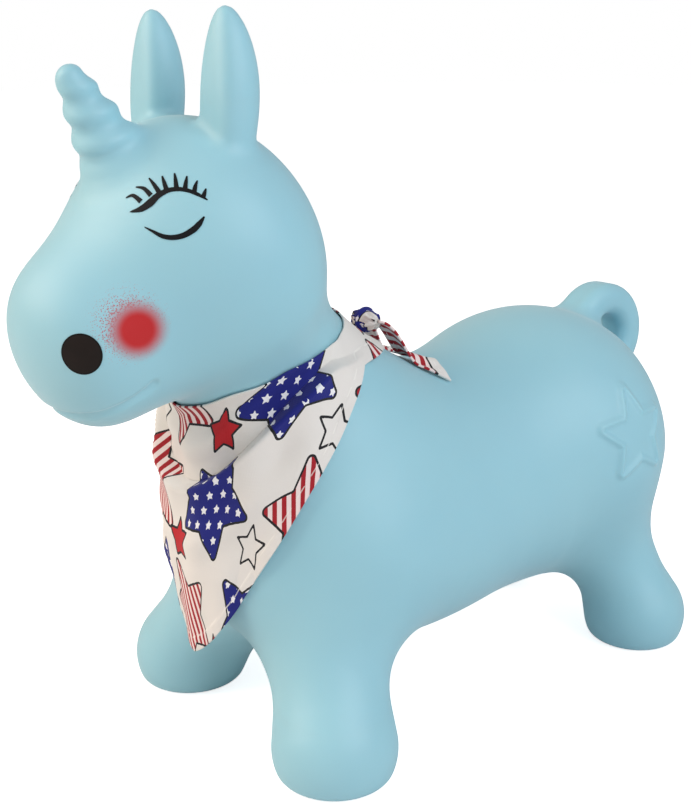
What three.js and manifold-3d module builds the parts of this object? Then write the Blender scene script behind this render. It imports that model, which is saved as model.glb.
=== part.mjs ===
// Inflatable bouncy unicorn hopper with a tied cotton bandana.
// Millimetres, +Z up. The animal faces -Y and its left side is +X. It stands on z = 0.
import * as THREE from 'three';
import { mergeVertices } from 'three/addons/utils/BufferGeometryUtils.js';
import Module from 'manifold-3d';

const wasm = await Module();
wasm.setup();

// Driving sizes of the moulded skin
const WALL = 4;
const GAP = 0.3;
const BLEND_TRUNK = 70;
const BLEND_NECK_BASE = 60;
const BLEND_JAW = 24;
const BLEND_FACE = 90;
const BLEND_KNEE = 25;
const BLEND_HIP = 38;
const BLEND_EAR = 8;
const BLEND_HORN = 12;
const BLEND_SOLE = 6;

const CHEST = { at: [0, -31, 130], half: [98, 136, 75], tilt: 0 };
const RUMP = { at: [0, 159, 186], half: [101, 89, 80], tilt: 6 };
const BARREL = { from: [0, -42, 167], to: [0, 138, 138.5], r0: 80.5, r1: 84.5 };
const NECK = { from: [0, -82, 215], to: [0, -139, 324], r0: 71, r1: 45 };
const SKULL = { at: [0, -153, 342.5], half: [90, 71, 88], tilt: 22.5 };
const MUZZLE = { at: [0, -243.5, 293.5], half: [45.5, 30, 45], tilt: 19 };
const FRONT_LEG = {
  foot: [89.5, -116, 20], knee: [60, -99, 75.5], hip: [59, -71, 141], r: [42.5, 34.5, 41.5],
};
const REAR_LEG = {
  foot: [82, 204, 21.5], knee: [61.5, 192, 77.5], hip: [57, 171, 158], r: [40.5, 27, 44],
};
const EAR = { at: [41.5, -156, 437], half: [18.6, 17.8, 54], tilt: -4.4 };
const EAR_LEAN = 4.5;
const EAR_POINT = 0.08;
const EAR_GROOVE_R = 15;
const EAR_GROOVE_OUT = 12;
const EAR_GROOVE_SOFT = 8;
const HORN = { from: [0, -206, 398], to: [0, -235.5, 450], r0: 22.5, r1: 8.6 };
const HORN_TURNS = 3.5;
const HORN_RIDGE = 1.1;
const TAIL_AT = [0, 236, 237.5];
const TAIL_R = 30;
const TAIL_HALF_THICK = 12.5;
const TAIL_HALF_WIDTH = 17;
const TAIL_ROUND = 11;

// Where the skin is parted into nodes
const NECK_CUT = [0, -113, 275];
const SHOE_TOP = 22;
const CUFF_TOP = 42;
const EAR_PIVOT_Z = 435;
const EAR_SEAT_R = 19;
const HORN_CUT_T = 0.27;

// Air plug under the belly
const PLUG_Y = 90;
const BOSS_PROUD = 2;
const BOSS_R = 15;
const BOSS_TALL = 14;
const PLUG_HEAD_R = 10;
const PLUG_HEAD_TALL = 3;
const PLUG_STEM_R = 4.2;
const PLUG_STEM_TALL = 17;
const PLUG_STEM_SUNK = 0.5;
const PLUG_HOLE_OVER = 5;

// Bandana
const CLOTH = 1.6;
const CLOTH_CLEAR = 1.25;
const BIB_AXIS_Y = -92;
const BIB_TOP_FRONT = 250;
const BIB_TOP_BACK = 296;
const BIB_TIP_Z = 70;
const BIB_BACK_Z = 268;
const BIB_TOP_CURVE = 0.8;
const BIB_SPREAD = 0.82;
const BIB_POINT = 0.35;
const COWL_FRONT_Z = 190;
const COWL_SIDE_Z = 272;
const COWL_OUT = 9;
const COWL_WIDE = 13;
const COWL_FADE_FROM = 1.2;
const COWL_FADE_TO = 2.2;
const BIB_START = 190;
const BIB_SLACK = 0.12;
const BIB_LIFT = 1.5;
const RIPPLE = 1.5;
const RIPPLE_COUNT = 7;
const RIPPLE_SHIFT = 0.6;
const BIB_JOIN = 0.06;
const NAPE_START = 150;
const KNOT_Z = 271;
const KNOT_LONG = 15;
const KNOT_R = 8.8;
const KNOT_WRAP = 1.16;
const KNOT_PRESS = 0.7;
const END_ROOT_X = 8;
const END_LONG = 47;
const END_WIDE = 29;
const END_ROOT_SHARE = 0.5;
const END_SPREAD = 20;
const END_LIFT = 4;
const END_FOLD = 2.2;
const END_DROP = 0.55;

const SKIN_COLOUR = 0xa9d6de;
const PLUG_COLOUR = 0xeeeeea;
const CLOTH_COLOUR = 0xe6ddd5;
const SKIN_ROUGH = 0.55;
const PLUG_ROUGH = 0.35;
const CLOTH_ROUGH = 0.9;

// Room round each piece, and how finely each is drawn
const TRUNK_SIDE_ROOM = 34;
const TRUNK_FRONT_ROOM = 33;
const TRUNK_REAR_ROOM = 27;
const TRUNK_TOP_ROOM = 55;
const TRUNK_STEP = 18;
const TRUNK_INNER_STEP = 27;
const HEAD_ROOM = 20;
const HEAD_STEP = 13;
const HEAD_INNER_STEP = 22;
const HORN_ROOM = 6;
const HORN_STEP = 5.5;
const EAR_ROOM = 14;
const EAR_SIDE_ROOM = 3;
const EAR_STEP = 8;
const EAR_INNER_STEP = 10;
const TAIL_ROOM = 8;
const TAIL_STEP = 7;
const LEG_SIDE_ROOM = 26;
const LEG_ROOM = 20;
const LEG_STEP = 14;
const LEG_INNER_STEP = 19;
const KNOT_ROOM = 6;
const KNOT_STEP = 4;
const BIB_ROWS = 44;
const BIB_COLUMNS = 11;
const END_ROWS = 13;
const END_COLUMNS = 6;

// Distance to the moulded shape, built from plain rounded bodies that melt into each other
function melt(a, b, k) {
  const h = Math.min(1, Math.max(0, 0.5 + (0.5 * (b - a)) / k));
  return b * (1 - h) + a * h - k * h * (1 - h);
}

function egg(p, { at, half, tilt }) {
  const t = THREE.MathUtils.degToRad(tilt);
  const x = p.x - at[0];
  const dy = p.y - at[1];
  const dz = p.z - at[2];
  const y = dy * Math.cos(t) + dz * Math.sin(t);
  const z = dz * Math.cos(t) - dy * Math.sin(t);
  const near = Math.hypot(x / half[0], y / half[1], z / half[2]);
  const slope = Math.hypot(x / half[0] ** 2, y / half[1] ** 2, z / half[2] ** 2);
  return (near * (near - 1)) / Math.max(slope, 1e-9);
}

// A cone with a ball at each end
function taper(p, { from, to, r0, r1 }) {
  const a = new THREE.Vector3(...from);
  const axis = new THREE.Vector3(...to).sub(a);
  const long = axis.length();
  axis.divideScalar(long);
  const rel = p.clone().sub(a);
  const along = rel.dot(axis);
  const out = Math.sqrt(Math.max(0, rel.lengthSq() - along * along));
  const sin = (r0 - r1) / long;
  const cos = Math.sqrt(1 - sin * sin);
  const t = along * cos - out * sin;
  if (t < 0) {
    return Math.hypot(along, out) - r0;
  }
  if (t > long * cos) {
    return Math.hypot(along - long, out) - r1;
  }
  return out * cos + along * sin - r0;
}

function mirrored(p) {
  return new THREE.Vector3(Math.abs(p.x), p.y, p.z);
}

function head(p) {
  return melt(egg(p, SKULL), egg(p, MUZZLE), BLEND_FACE);
}

function leg(q, { foot, knee, hip, r }) {
  const shin = taper(q, { from: foot, to: knee, r0: r[0], r1: r[1] });
  const thigh = taper(q, { from: knee, to: hip, r0: r[1], r1: r[2] });
  return melt(shin, thigh, BLEND_KNEE);
}

function trunk(p) {
  let d = melt(egg(p, CHEST), egg(p, RUMP), BLEND_TRUNK);
  d = melt(d, taper(p, BARREL), BLEND_TRUNK);
  return d;
}

// The body without its head: what the bandana lies on
function bodyOnly(p) {
  const q = mirrored(p);
  let d = melt(trunk(p), taper(p, NECK), BLEND_NECK_BASE);
  d = melt(d, leg(q, FRONT_LEG), BLEND_HIP);
  return d;
}

// Each ear is an egg drawn to a point, which leans forward towards its tip
function earLeaf(q) {
  const up = Math.min(1, Math.max(0, (q.z - EAR.at[2]) / EAR.half[2]));
  const narrow = 1 + EAR_POINT * up * up;
  const x = EAR.at[0] + (q.x - EAR.at[0]) * narrow;
  const y = EAR.at[1] + (q.y - EAR.at[1] + EAR_LEAN * up * up) * narrow;
  return egg(new THREE.Vector3(x, y, q.z), EAR) / narrow;
}

// A shallow groove runs down the front of the ear
function ear(q) {
  const groove = Math.hypot(q.x - EAR.at[0], q.y - EAR.at[1] + EAR.half[1] + EAR_GROOVE_OUT) - EAR_GROOVE_R;
  return -melt(-earLeaf(q), groove, EAR_GROOVE_SOFT);
}

// The horn's ridge winds round it like a screw
function horn(p) {
  const a = new THREE.Vector3(...HORN.from);
  const axis = new THREE.Vector3(...HORN.to).sub(a);
  const long = axis.length();
  axis.divideScalar(long);
  const rel = p.clone().sub(a);
  const along = rel.dot(axis) / long;
  const round = Math.atan2(rel.x, rel.dot(new THREE.Vector3(0, axis.z, -axis.y)));
  const wave = Math.cos(2 * Math.PI * HORN_TURNS * along - round);
  const fade = Math.min(1, Math.max(0, (along - 0.1) * 4)) * Math.min(1, Math.max(0, (1.1 - along) * 4));
  return taper(p, HORN) - HORN_RIDGE * wave * fade;
}

function tailLoop(p) {
  const ring = Math.abs(Math.hypot(p.y - TAIL_AT[1], p.z - TAIL_AT[2]) - TAIL_R);
  const thick = Math.max(0, ring - (TAIL_HALF_THICK - TAIL_ROUND));
  const wide = Math.max(0, Math.abs(p.x) - (TAIL_HALF_WIDTH - TAIL_ROUND));
  return Math.hypot(thick, wide) - TAIL_ROUND;
}

function bodyAndHead(p) {
  const q = mirrored(p);
  const top = melt(taper(p, NECK), head(p), BLEND_JAW);
  let d = melt(trunk(p), top, BLEND_NECK_BASE);
  d = melt(d, leg(q, FRONT_LEG), BLEND_HIP);
  d = melt(d, leg(q, REAR_LEG), BLEND_HIP);
  return d;
}

function skin(p) {
  let d = melt(bodyAndHead(p), ear(mirrored(p)), BLEND_EAR);
  d = melt(d, horn(p), BLEND_HORN);
  return -melt(-d, p.z, BLEND_SOLE);
}

// The hollow inside the skin leaves out the horn, which is moulded solid
function hollow(p) {
  const d = melt(bodyAndHead(p), ear(mirrored(p)), BLEND_EAR);
  return Math.max(d, -p.z) + WALL;
}

function slope(f, p) {
  const e = 0.5;
  const x = new THREE.Vector3(e, 0, 0);
  const y = new THREE.Vector3(0, e, 0);
  const z = new THREE.Vector3(0, 0, e);
  return new THREE.Vector3(
    f(p.clone().add(x)) - f(p.clone().sub(x)),
    f(p.clone().add(y)) - f(p.clone().sub(y)),
    f(p.clone().add(z)) - f(p.clone().sub(z)),
  ).normalize();
}

function solid(geometry) {
  const bare = new THREE.BufferGeometry();
  bare.setAttribute('position', geometry.getAttribute('position'));
  bare.setIndex(geometry.getIndex());
  const merged = mergeVertices(bare, 1e-4);
  return new wasm.Manifold(new wasm.Mesh({
    numProp: 3,
    vertProperties: new Float32Array(merged.getAttribute('position').array),
    triVerts: new Uint32Array(merged.getIndex().array),
  }));
}

// Surface of a shape inside a box: one point per crossed cell, drawn onto the surface
function wrap(shape, low, high, step) {
  const inBox = (p) => Math.max(
    shape(p),
    low[0] - p.x, p.x - high[0],
    low[1] - p.y, p.y - high[1],
    low[2] - p.z, p.z - high[2],
  );
  const start = low.map((v) => v - 1.5 * step);
  const n = low.map((v, i) => Math.ceil((high[i] - v) / step) + 4);
  const at = (i, j, k) => (i * n[1] + j) * n[2] + k;
  const place = (i, j, k) => new THREE.Vector3(start[0] + i * step, start[1] + j * step, start[2] + k * step);
  const d = new Float32Array(n[0] * n[1] * n[2]);
  for (let i = 0; i < n[0]; i += 1) {
    for (let j = 0; j < n[1]; j += 1) {
      for (let k = 0; k < n[2]; k += 1) {
        d[at(i, j, k)] = inBox(place(i, j, k));
      }
    }
  }
  const points = [];
  const index = [];
  const cell = new Map();
  const edges = [];
  for (let c = 0; c < 8; c += 1) {
    for (let axis = 0; axis < 3; axis += 1) {
      if (!(c & (1 << axis))) {
        edges.push([c, c | (1 << axis)]);
      }
    }
  }
  const corner = (c) => [c & 1, (c >> 1) & 1, (c >> 2) & 1];
  for (let i = 0; i < n[0] - 1; i += 1) {
    for (let j = 0; j < n[1] - 1; j += 1) {
      for (let k = 0; k < n[2] - 1; k += 1) {
        const sum = new THREE.Vector3();
        let count = 0;
        for (const [a, b] of edges) {
          const ca = corner(a);
          const cb = corner(b);
          const da = d[at(i + ca[0], j + ca[1], k + ca[2])];
          const db = d[at(i + cb[0], j + cb[1], k + cb[2])];
          if ((da < 0) !== (db < 0)) {
            const t = da / (da - db);
            sum.add(place(i + ca[0], j + ca[1], k + ca[2]).lerp(place(i + cb[0], j + cb[1], k + cb[2]), t));
            count += 1;
          }
        }
        if (count > 0) {
          const p = sum.divideScalar(count);
          if (Math.abs(shape(p) - inBox(p)) < 1e-6) {
            p.addScaledVector(slope(shape, p), -Math.max(-step / 3, Math.min(step / 3, shape(p))));
          }
          cell.set(at(i, j, k), points.length / 3);
          points.push(p.x, p.y, p.z);
        }
      }
    }
  }
  const face = (a, b, c, e, flip) => {
    if (flip) {
      index.push(a, c, b, a, e, c);
    } else {
      index.push(a, b, c, a, c, e);
    }
  };
  for (let i = 1; i < n[0] - 1; i += 1) {
    for (let j = 1; j < n[1] - 1; j += 1) {
      for (let k = 1; k < n[2] - 1; k += 1) {
        const here = d[at(i, j, k)] < 0;
        if (here !== d[at(i + 1, j, k)] < 0) {
          face(cell.get(at(i, j - 1, k - 1)), cell.get(at(i, j, k - 1)), cell.get(at(i, j, k)),
            cell.get(at(i, j - 1, k)), !here);
        }
        if (here !== d[at(i, j + 1, k)] < 0) {
          face(cell.get(at(i - 1, j, k - 1)), cell.get(at(i - 1, j, k)), cell.get(at(i, j, k)),
            cell.get(at(i, j, k - 1)), !here);
        }
        if (here !== d[at(i, j, k + 1)] < 0) {
          face(cell.get(at(i - 1, j - 1, k)), cell.get(at(i, j - 1, k)), cell.get(at(i, j, k)),
            cell.get(at(i - 1, j, k)), !here);
        }
      }
    }
  }
  const geometry = new THREE.BufferGeometry();
  geometry.setAttribute('position', new THREE.BufferAttribute(new Float32Array(points), 3));
  geometry.setIndex(index);
  return solid(geometry);
}

// A shell: the skin in a box less the hollow in the same box
function shell(low, high, step, innerStep) {
  return wrap(skin, low, high, step).subtract(wrap(hollow, low, high, innerStep));
}

// A block whose bottom face lies on a plane; what it covers is on the side the normal points to
function beyond(point, normal, wide, deep, tall) {
  const box = new THREE.BoxGeometry(wide, deep, tall);
  box.translate(0, 0, tall / 2);
  const turn = new THREE.Quaternion().setFromUnitVectors(new THREE.Vector3(0, 0, 1), normal);
  box.applyQuaternion(turn);
  box.translate(point.x, point.y, point.z);
  return solid(box);
}

function block(low, high) {
  const box = new THREE.BoxGeometry(high[0] - low[0], high[1] - low[1], high[2] - low[2]);
  box.translate((low[0] + high[0]) / 2, (low[1] + high[1]) / 2, (low[2] + high[2]) / 2);
  return solid(box);
}

function rod(x, y, z, radius, tall) {
  const round = new THREE.CylinderGeometry(radius, radius, tall, 32);
  round.rotateX(Math.PI / 2);
  round.translate(x, y, z + tall / 2);
  return solid(round);
}

const group = new THREE.Group();
const WELD = 0.02;

function add(name, body, colour, roughness) {
  const mesh = body.getMesh();
  const geometry = new THREE.BufferGeometry();
  geometry.setAttribute('position', new THREE.BufferAttribute(new Float32Array(mesh.vertProperties), 3));
  geometry.setIndex(new THREE.BufferAttribute(new Uint32Array(mesh.triVerts), 1));
  const welded = mergeVertices(geometry, WELD);
  const old = welded.getIndex().array;
  const kept = [];
  for (let i = 0; i < old.length; i += 3) {
    const [a, b, c] = [old[i], old[i + 1], old[i + 2]];
    if (a !== b && b !== c && c !== a) {
      kept.push(a, b, c);
    }
  }
  welded.setIndex(kept);
  welded.computeVertexNormals();
  const material = new THREE.MeshStandardMaterial({ color: colour, roughness, metalness: 0 });
  const node = new THREE.Mesh(welded, material);
  node.name = name;
  group.add(node);
}

// Cutting planes and blocks
const half = GAP / 2;
const neckAxis = new THREE.Vector3(...NECK.to).sub(new THREE.Vector3(...NECK.from)).normalize();
const neckPoint = new THREE.Vector3(...NECK_CUT);
const hornAxis = new THREE.Vector3(...HORN.to).sub(new THREE.Vector3(...HORN.from)).normalize();
const hornPoint = new THREE.Vector3(...HORN.from).lerp(new THREE.Vector3(...HORN.to), HORN_CUT_T);
const WIDE = 800;

const aboveNeck = (by) => beyond(neckPoint.clone().addScaledVector(neckAxis, by), neckAxis, WIDE, WIDE, WIDE);
const aboveHorn = (by) => beyond(
  hornPoint.clone().addScaledVector(hornAxis, by),
  hornAxis,
  2 * (HORN.r0 + HORN_ROOM),
  3 * HORN.r0,
  5 * HORN.r0,
);

// Each ear sits on a round seat, so that it can bend about the seat's axis without touching it
function earRoom(side, by) {
  const x = EAR.half[0] + EAR_SIDE_ROOM;
  const centre = side * EAR.at[0];
  const room = block(
    [centre - x, EAR.at[1] - EAR.half[1] - EAR_ROOM, EAR_PIVOT_Z],
    [centre + x, EAR.at[1] + EAR.half[1] + EAR_ROOM, EAR.at[2] + EAR.half[2] + 2 * EAR_ROOM]);
  const seat = new THREE.CylinderGeometry(EAR_SEAT_R + by, EAR_SEAT_R + by, 2 * x + EAR_SIDE_ROOM, 48);
  seat.rotateZ(Math.PI / 2);
  seat.translate(centre, EAR.at[1], EAR_PIVOT_Z);
  return room.subtract(solid(seat));
}

// Trunk: open at the neck and at the four legs, with a flat boss and a hole for the air plug.
// The boss stands a little proud of the belly.
const trunkWide = Math.max(CHEST.half[0], RUMP.half[0]) + TRUNK_SIDE_ROOM;
const trunkLow = [-trunkWide, CHEST.at[1] - CHEST.half[1] - TRUNK_FRONT_ROOM, CUFF_TOP - TRUNK_STEP];
const trunkHigh = [trunkWide, RUMP.at[1] + RUMP.half[1] + TRUNK_REAR_ROOM, NECK_CUT[2] + TRUNK_TOP_ROOM];
let bossZ = 0;
for (let n = 0; n < 60; n += 1) {
  bossZ += 0.7 * bodyAndHead(new THREE.Vector3(0, PLUG_Y, bossZ));
}
bossZ -= BOSS_PROUD;
const boss = rod(0, PLUG_Y, bossZ, BOSS_R, BOSS_TALL);
const plugHole = rod(0, PLUG_Y, bossZ - PLUG_HOLE_OVER, PLUG_STEM_R + GAP, 2 * BOSS_TALL);
const trunkNode = shell(trunkLow, trunkHigh, TRUNK_STEP, TRUNK_INNER_STEP)
  .subtract(aboveNeck(-half))
  .intersect(block([-WIDE, -WIDE, CUFF_TOP + half], [WIDE, WIDE, WIDE]))
  .add(boss)
  .subtract(plugHole);
add('torso_shell', trunkNode, SKIN_COLOUR, SKIN_ROUGH);

// Head with open ear roots and horn root
const headLow = [
  -SKULL.half[0] - HEAD_ROOM, MUZZLE.at[1] - MUZZLE.half[1] - HEAD_ROOM, NECK_CUT[2] - 3 * HEAD_ROOM,
];
const headHigh = [SKULL.half[0] + HEAD_ROOM, NECK_CUT[1] + NECK.r0 + HEAD_ROOM, EAR_PIVOT_Z + HEAD_ROOM];
const headNode = shell(headLow, headHigh, HEAD_STEP, HEAD_INNER_STEP)
  .intersect(aboveNeck(half))
  .subtract(aboveHorn(-half))
  .subtract(earRoom(1, -half))
  .subtract(earRoom(-1, -half));
add('head_shell', headNode, SKIN_COLOUR, SKIN_ROUGH);

const hornReach = HORN_ROOM + HORN.r0 + HORN_RIDGE;
const hornNode = wrap(
  skin,
  [-hornReach, HORN.to[1] - hornReach, HORN.from[2] - 2 * HORN_ROOM],
  [hornReach, HORN.from[1] + hornReach, HORN.to[2] + hornReach],
  HORN_STEP,
).intersect(aboveHorn(half));
add('horn', hornNode, SKIN_COLOUR, SKIN_ROUGH);

for (const [name, side] of [['ear_left', 1], ['ear_right', -1]]) {
  const wide = EAR.half[0] + EAR_SIDE_ROOM + 1;
  const deep = EAR.half[1] + EAR_ROOM;
  const low = [side * EAR.at[0] - wide, EAR.at[1] - deep, EAR_PIVOT_Z - EAR_ROOM];
  const high = [side * EAR.at[0] + wide, EAR.at[1] + deep, EAR.at[2] + EAR.half[2] + EAR_ROOM];
  const leaf = shell(low, high, EAR_STEP, EAR_INNER_STEP);
  add(name, leaf.intersect(earRoom(side, half)), SKIN_COLOUR, SKIN_ROUGH);
}

// Tail: a strap bent into a loop, with both ends on the rump
const loopReach = TAIL_R + TAIL_HALF_THICK + TAIL_ROOM;
const rumpRoom = wrap((p) => skin(p) - 1.5 * GAP, trunkLow, trunkHigh, TRUNK_STEP);
const loopNode = wrap(
  tailLoop,
  [-TAIL_HALF_WIDTH - TAIL_ROOM, TAIL_AT[1] - loopReach, TAIL_AT[2] - loopReach],
  [TAIL_HALF_WIDTH + TAIL_ROOM, TAIL_AT[1] + loopReach, TAIL_AT[2] + loopReach],
  TAIL_STEP,
).subtract(rumpRoom);
add('tail_handle', loopNode, SKIN_COLOUR, SKIN_ROUGH);

// Legs: a springy cuff above a foot with a flat sole
for (const [end, size] of [['front', FRONT_LEG], ['rear', REAR_LEG]]) {
  for (const [hand, side] of [['left', 1], ['right', -1]]) {
    const wide = size.r[0] + LEG_SIDE_ROOM;
    const deep = size.r[0] + LEG_ROOM;
    const x = side * size.foot[0];
    const low = [x - wide, size.foot[1] - deep, -LEG_ROOM / 2];
    const high = [x + wide, size.foot[1] + deep, CUFF_TOP + LEG_STEP];
    const whole = shell(low, high, LEG_STEP, LEG_INNER_STEP);
    const cuff = whole.intersect(block([-WIDE, -WIDE, SHOE_TOP + half], [WIDE, WIDE, CUFF_TOP - half]));
    const foot = whole.intersect(block([-WIDE, -WIDE, -WIDE], [WIDE, WIDE, SHOE_TOP - half]));
    add(`leg_cuff_${end}_${hand}`, cuff, SKIN_COLOUR, SKIN_ROUGH);
    add(`foot_${end}_${hand}`, foot, SKIN_COLOUR, SKIN_ROUGH);
  }
}

// Air plug: a flat head on a stem
const plugHead = rod(0, PLUG_Y, bossZ - GAP - PLUG_HEAD_TALL, PLUG_HEAD_R, PLUG_HEAD_TALL);
const stemLow = bossZ - GAP - PLUG_STEM_SUNK;
const plugStem = rod(0, PLUG_Y, stemLow, PLUG_STEM_R, PLUG_STEM_TALL + PLUG_STEM_SUNK);
add('valve_plug', plugHead.add(plugStem), PLUG_COLOUR, PLUG_ROUGH);

// A closed cloth sheet from a grid of points, given a thickness along the outward directions
function sheet(rows, columns, at, thickness) {
  const points = [];
  const index = [];
  for (const out of [thickness, 0]) {
    for (let i = 0; i <= rows; i += 1) {
      for (let j = 0; j <= columns; j += 1) {
        const { p, n } = at(i / rows, j / columns);
        points.push(p.x + n.x * out, p.y + n.y * out, p.z + n.z * out);
      }
    }
  }
  const id = (layer, i, j) => (layer * (rows + 1) + i) * (columns + 1) + j;
  const mid = at(0.5, 0.5);
  const alongRows = at(0.52, 0.5).p.sub(mid.p);
  const alongColumns = at(0.5, 0.52).p.sub(mid.p);
  const turned = alongRows.cross(alongColumns).dot(mid.n) < 0;
  const quad = (a, b, c, d) => {
    if (turned) {
      index.push(a, c, b, a, d, c);
    } else {
      index.push(a, b, c, a, c, d);
    }
  };
  for (let i = 0; i < rows; i += 1) {
    for (let j = 0; j < columns; j += 1) {
      quad(id(0, i, j), id(0, i + 1, j), id(0, i + 1, j + 1), id(0, i, j + 1));
      quad(id(1, i, j), id(1, i, j + 1), id(1, i + 1, j + 1), id(1, i + 1, j));
    }
  }
  for (let i = 0; i < rows; i += 1) {
    quad(id(0, i, 0), id(1, i, 0), id(1, i + 1, 0), id(0, i + 1, 0));
    quad(id(0, i + 1, columns), id(1, i + 1, columns), id(1, i, columns), id(0, i, columns));
  }
  for (let j = 0; j < columns; j += 1) {
    quad(id(0, 0, j + 1), id(1, 0, j + 1), id(1, 0, j), id(0, 0, j));
    quad(id(0, rows, j), id(1, rows, j), id(1, rows, j + 1), id(0, rows, j + 1));
  }
  const geometry = new THREE.BufferGeometry();
  geometry.setAttribute('position', new THREE.BufferAttribute(new Float32Array(points), 3));
  geometry.setIndex(index);
  return solid(geometry);
}

// Bandana: it lies round the neck and hangs over the chest, with a cowl fold under the chin
const turnDown = (angle) => {
  const far = Math.min(Math.PI / 2, BIB_SPREAD * Math.abs(angle));
  return (1 - BIB_POINT) * Math.sin(far) ** 2 + (BIB_POINT * far) / (Math.PI / 2);
};
const bibTop = (angle) => {
  const rise = Math.abs(Math.sin(angle / 2)) ** BIB_TOP_CURVE;
  return BIB_TOP_FRONT + (BIB_TOP_BACK - BIB_TOP_FRONT) * rise;
};
const bibLow = (angle) => BIB_TIP_Z + (BIB_BACK_Z - BIB_TIP_Z) * turnDown(angle);
const cowl = (angle) => {
  const rise = Math.sin(Math.min(Math.PI / 2, angle)) ** 2;
  return COWL_FRONT_Z + (COWL_SIDE_Z - COWL_FRONT_Z) * rise;
};

function bibPoint(angle, down) {
  const z = THREE.MathUtils.lerp(bibTop(angle), bibLow(angle), down);
  const way = new THREE.Vector3(Math.sin(angle), -Math.cos(angle), 0);
  let reach = 0;
  const steps = 24;
  for (let s = 0; s <= steps; s += 1) {
    const h = THREE.MathUtils.lerp(bibTop(angle), bibLow(angle), (down * s) / steps);
    let far = BIB_START;
    for (let n = 0; n < 60; n += 1) {
      far -= 0.7 * (bodyOnly(new THREE.Vector3(0, BIB_AXIS_Y, h).addScaledVector(way, far)) - CLOTH_CLEAR);
    }
    reach = Math.max(far, reach - ((bibTop(angle) - bibLow(angle)) * down * BIB_SLACK) / steps);
  }
  const fold = (z - cowl(Math.abs(angle))) / COWL_WIDE;
  const fade = 1 - THREE.MathUtils.smoothstep(Math.abs(angle), COWL_FADE_FROM, COWL_FADE_TO);
  const hang = THREE.MathUtils.smoothstep(down, 0.4, 0.9);
  const ripple = RIPPLE * Math.sin(RIPPLE_COUNT * angle + RIPPLE_SHIFT) * hang;
  reach += (COWL_OUT * Math.exp(-fold * fold) + ripple + BIB_LIFT) * fade;
  const p = new THREE.Vector3(0, BIB_AXIS_Y, z).addScaledVector(way, reach);
  for (let n = 0; n < 8; n += 1) {
    const d = bodyAndHead(p);
    if (d < CLOTH_CLEAR) {
      p.addScaledVector(slope(bodyAndHead, p), CLOTH_CLEAR - d);
    }
  }
  return p;
}

function bibAt(u, v) {
  const turn = Math.PI - BIB_JOIN;
  const angle = (u * 2 - 1) * turn;
  const p = bibPoint(angle, v);
  const e = 0.02;
  const across = bibPoint(angle + e, v).sub(bibPoint(angle - e, v));
  const along = bibPoint(angle, Math.min(1, v + e)).sub(bibPoint(angle, Math.max(0, v - e)));
  return { p, n: along.cross(across).normalize() };
}

// The knot sits against the nape
let napeY = BIB_AXIS_Y + NAPE_START;
for (let n = 0; n < 80; n += 1) {
  napeY -= 0.7 * bodyAndHead(new THREE.Vector3(0, napeY, KNOT_Z));
}
const nape = new THREE.Vector3(0, napeY, KNOT_Z);
const napeOut = slope(bodyAndHead, nape);
const knotOff = CLOTH_CLEAR + CLOTH + GAP - KNOT_PRESS + KNOT_WRAP * KNOT_R;
const knotAt = nape.clone().addScaledVector(napeOut, knotOff);
const knotEgg = { at: knotAt.toArray(), half: [KNOT_LONG, KNOT_R, KNOT_R], tilt: 0 };
const wrapR = KNOT_R * KNOT_WRAP;
const knotBand = { at: knotAt.toArray(), half: [KNOT_LONG * 0.42, wrapR, wrapR], tilt: 0 };
const knotShape = (p) => melt(egg(p, knotEgg), egg(p, knotBand), 2);
const knotReach = KNOT_LONG + KNOT_ROOM;
const knotLow = knotAt.toArray().map((v) => v - knotReach);
const knotHigh = knotAt.toArray().map((v) => v + knotReach);
const knotRoom = wrap((p) => knotShape(p) - GAP, knotLow, knotHigh, KNOT_STEP);
add('scarf_bib', sheet(BIB_ROWS, BIB_COLUMNS, bibAt, CLOTH), CLOTH_COLOUR, CLOTH_ROUGH);
add('scarf_knot', wrap(knotShape, knotLow, knotHigh, KNOT_STEP), CLOTH_COLOUR, CLOTH_ROUGH);

// Two tie ends lie back from the knot, one on each side of the spine
function backHeight(x, y) {
  let z = 420;
  for (let n = 0; n < 80; n += 1) {
    z -= 0.7 * trunkAndNeck(new THREE.Vector3(x, y, z));
  }
  return z;
}

function trunkAndNeck(p) {
  return melt(trunk(p), taper(p, NECK), BLEND_NECK_BASE);
}

function endAt(side, u, v) {
  const place = (s, t) => {
    const wide = END_WIDE * (END_ROOT_SHARE + (1 - END_ROOT_SHARE) * s);
    const x = side * (END_ROOT_X + END_SPREAD * s + (t - 0.5) * wide);
    const y = knotAt.y + END_LONG * s;
    const fold = END_FOLD * Math.cos((t - 0.5) * 2 * Math.PI);
    const lie = backHeight(x, y) + END_LIFT + fold;
    const z = THREE.MathUtils.lerp(knotAt.z, lie, THREE.MathUtils.smoothstep(s, 0, END_DROP));
    return new THREE.Vector3(x, y, z);
  };
  const e = 0.02;
  const along = place(Math.min(1, u + e), v).sub(place(Math.max(0, u - e), v));
  const across = place(u, Math.min(1, v + e)).sub(place(u, Math.max(0, v - e)));
  const n = along.cross(across).normalize();
  return { p: place(u, v), n: n.z < 0 ? n.negate() : n };
}

for (const [name, side] of [['scarf_end_left', 1], ['scarf_end_right', -1]]) {
  const end = sheet(END_ROWS, END_COLUMNS, (u, v) => endAt(side, u, v), CLOTH);
  add(name, end.subtract(knotRoom), CLOTH_COLOUR, CLOTH_ROUGH);
}

export default group;
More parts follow.
